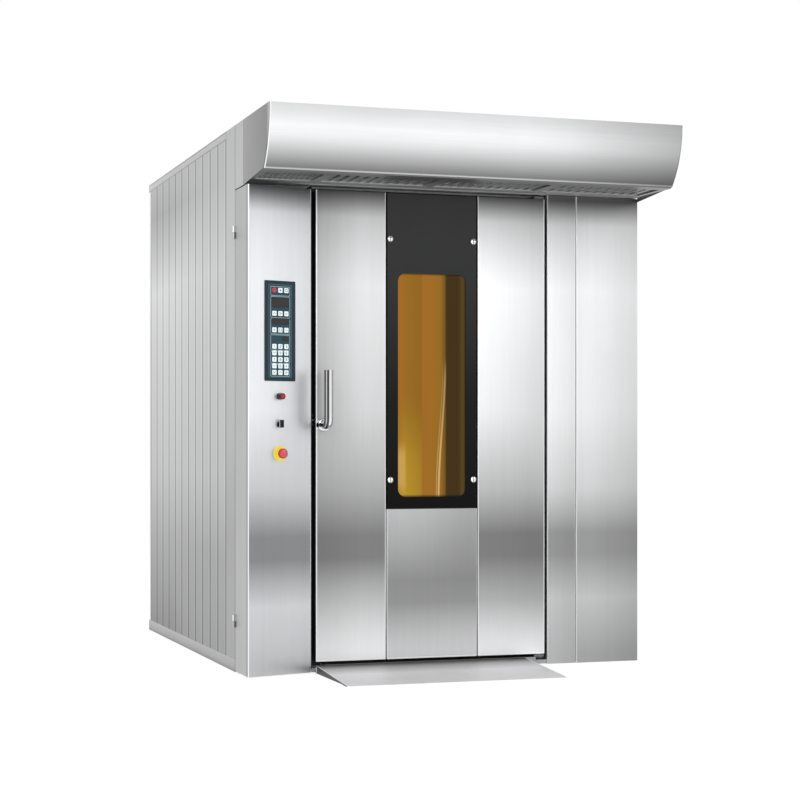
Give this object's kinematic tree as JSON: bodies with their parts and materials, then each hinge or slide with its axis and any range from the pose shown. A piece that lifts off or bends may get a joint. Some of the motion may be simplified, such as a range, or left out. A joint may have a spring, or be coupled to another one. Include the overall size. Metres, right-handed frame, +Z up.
{
  "type": "rotating rack oven",
  "caption": "Bakery rack oven: insulated steel cabin with floor turntable, hinged door with tall window, angled control column, curved steam hood and ramp.",
  "frame": {"origin": "on the floor, in the middle of the whole oven's outline, ramp, hood and pipe stubs included", "axes": "+X to the right seen from the front, +Y from the door to the back, +Z up; the door faces -Y"},
  "size_m": [1.8782, 2.711, 2.5356],
  "materials": {
    "dark_steel": "dark zinc-plated steel",
    "galvanised": "galvanised flat bar",
    "inner_steel": "plain stainless sheet",
    "bronze": "bearing bronze",
    "plate_steel": "worn stainless plate",
    "ramp_steel": "ground stainless sheet",
    "mineral_wool": "mineral wool boards",
    "cladding": "satin stainless sheet, folded grooves",
    "post_steel": "satin stainless sheet",
    "trim_steel": "satin stainless sheet",
    "roof_steel": "galvanised sheet",
    "front_steel": "brushed stainless sheet",
    "frame_steel": "dark stainless frame",
    "cabinet": "light grey painted steel",
    "switchgear": "grey plastic devices",
    "hinge_steel": "stainless",
    "column_steel": "brushed stainless sheet",
    "membrane": "dark teal film",
    "keys": "printed key film",
    "displays": "dark red filter film",
    "bezel_chrome": "chrome rings",
    "button_red": "red plastic",
    "knob_black": "black plastic",
    "ring_yellow": "yellow plastic",
    "stop_red": "red plastic",
    "drive_paint": "blue-grey paint",
    "fork_steel": "stainless",
    "wheel_steel": "stainless fan wheel",
    "heater": "scaled tubular heaters",
    "cast_steam": "cast iron bars and steel trays",
    "pipe_steel": "stainless pipe",
    "lamp": "lamp glass tube",
    "flue_steel": "stainless pipe",
    "hood_steel": "satin stainless sheet",
    "soffit_steel": "satin stainless sheet",
    "filter_steel": "stainless baffles",
    "box_steel": "galvanised sheet",
    "fan_plastic": "black fan wheel",
    "leaf_steel": "folded steel frame",
    "door_steel": "brushed stainless sheet",
    "black_glass": "black enamelled glass",
    "amber_glass": "heat-resistant glass, lit amber",
    "cap_chrome": "domed chrome caps",
    "gasket": "black silicone",
    "handle_chrome": "polished steel"
  },
  "bodies": {
    "oven": {"levelling_feet": "dark_steel", "base_frame": "galvanised", "floor_pan": "inner_steel", "turntable_bearing": "bronze", "ramp": "ramp_steel", "wall_insulation": "mineral_wool", "chamber_liner": "inner_steel", "air_wall": "inner_steel", "side_cladding": "cladding", "rear_cladding": "cladding", "body_posts": "post_steel", "top_trim": "trim_steel", "plinth": "trim_steel", "roof_panel": "roof_steel", "side_panels": "front_steel", "door_frame": "frame_steel", "door_hinges": "dark_steel", "control_cabinet": "cabinet", "switchgear": "switchgear", "control_hinges": "hinge_steel", "drive_gearmotor": "drive_paint", "fan_deck": "inner_steel", "fan_motor": "drive_paint", "heater_bank": "heater", "steam_generator": "cast_steam", "water_pipes": "pipe_steel", "chamber_lamps": "lamp", "flue_pipe": "flue_steel", "hood_shell": "hood_steel", "hood_cheeks": "hood_steel", "hood_soffit": "soffit_steel", "hood_filters": "filter_steel", "hood_fan_box": "box_steel"},
    "door": {"door_leaf": "leaf_steel", "door_insulation": "mineral_wool", "door_skins": "door_steel", "door_glass": "black_glass", "window_panes": "amber_glass", "glass_caps": "cap_chrome", "door_inner_panel": "inner_steel", "door_gasket": "gasket", "handle_rosette": "handle_chrome"},
    "handle": {"door_handle": "handle_chrome"},
    "bolt": {"latch_bolt": "hinge_steel"},
    "cover": {"control_cover": "column_steel", "membrane_panel": "membrane", "membrane_keys": "keys", "display_windows": "displays", "switch_bezels": "bezel_chrome", "stop_ring": "ring_yellow"},
    "start": {"start_button": "button_red"},
    "selector": {"selector_knob": "knob_black"},
    "stop": {"stop_button": "stop_red"},
    "platform": {"turntable": "plate_steel", "wheel_channels": "plate_steel"},
    "fork": {"rack_fork": "fork_steel"},
    "fan": {"fan_wheel": "wheel_steel"},
    "hood_fan": {"hood_fan_wheel": "fan_plastic"},
    "damper": {"flue_damper": "flue_steel"},
    "shutter": {"air_shutter": "inner_steel"}
  },
  "joints": [
    {"name": "door_swing", "type": "hinge", "parent": "oven", "child": "door", "pos_m": [0.45015, -0.8465, 1.082], "axis": [0, 0, 1], "range_deg": [0, 110]},
    {"name": "handle_turn", "type": "hinge", "parent": "door", "child": "handle", "pos_m": [-0.57185, -0.8885, 1.085], "axis": [0, 1, 0], "range_deg": [0, 90]},
    {"name": "latch_slide", "type": "slide", "parent": "door", "child": "bolt", "axis": [1, 0, 0], "range_m": [0, 0.014]},
    {"name": "control_cover_swing", "type": "hinge", "parent": "oven", "child": "cover", "pos_m": [-0.93315, -0.7195, 1.059], "axis": [0, 0, -1], "range_deg": [0, 100]},
    {"name": "start_button_press", "type": "slide", "parent": "cover", "child": "start", "axis": [-0.2839, 0.9589, 0], "range_m": [0, 0.004], "stiffness_N_per_m": 600, "springref_m": -0.002},
    {"name": "selector_turn", "type": "hinge", "parent": "cover", "child": "selector", "pos_m": [-0.77535, -0.91565, 1.086], "axis": [0.2839, -0.9589, 0], "range_deg": [-45, 45]},
    {"name": "stop_press", "type": "slide", "parent": "cover", "child": "stop", "axis": [-0.2839, 0.9589, 0], "range_m": [0, 0.006]},
    {"name": "turntable_spin", "type": "hinge", "parent": "oven", "child": "platform", "pos_m": [-0.06285, -0.0005, 0.034], "axis": [0, 0, 1], "continuous": true},
    {"name": "rack_fork_spin", "type": "hinge", "parent": "oven", "child": "fork", "pos_m": [-0.06285, -0.0005, 2.1], "axis": [0, 0, 1], "continuous": true},
    {"name": "fan_spin", "type": "hinge", "parent": "oven", "child": "fan", "pos_m": [-0.24385, 0.9265, 2], "axis": [0, 0, 1], "continuous": true},
    {"name": "hood_fan_spin", "type": "hinge", "parent": "oven", "child": "hood_fan", "pos_m": [0.50615, -0.4705, 2.43], "axis": [0, 0, 1], "continuous": true},
    {"name": "damper_turn", "type": "hinge", "parent": "oven", "child": "damper", "pos_m": [-0.55385, 0.3295, 2.3403], "axis": [1, 0, 0], "range_deg": [0, 90]},
    {"name": "shutter_slide", "type": "slide", "parent": "oven", "child": "shutter", "axis": [0, 1, 0], "range_m": [0, 0.024]}
  ],
  "couplings": [
    {"joint": "latch_slide", "follows": "handle_turn", "m_per_rad": 0.0089127},
    {"joint": "rack_fork_spin", "follows": "turntable_spin", "ratio": 1}
  ]
}
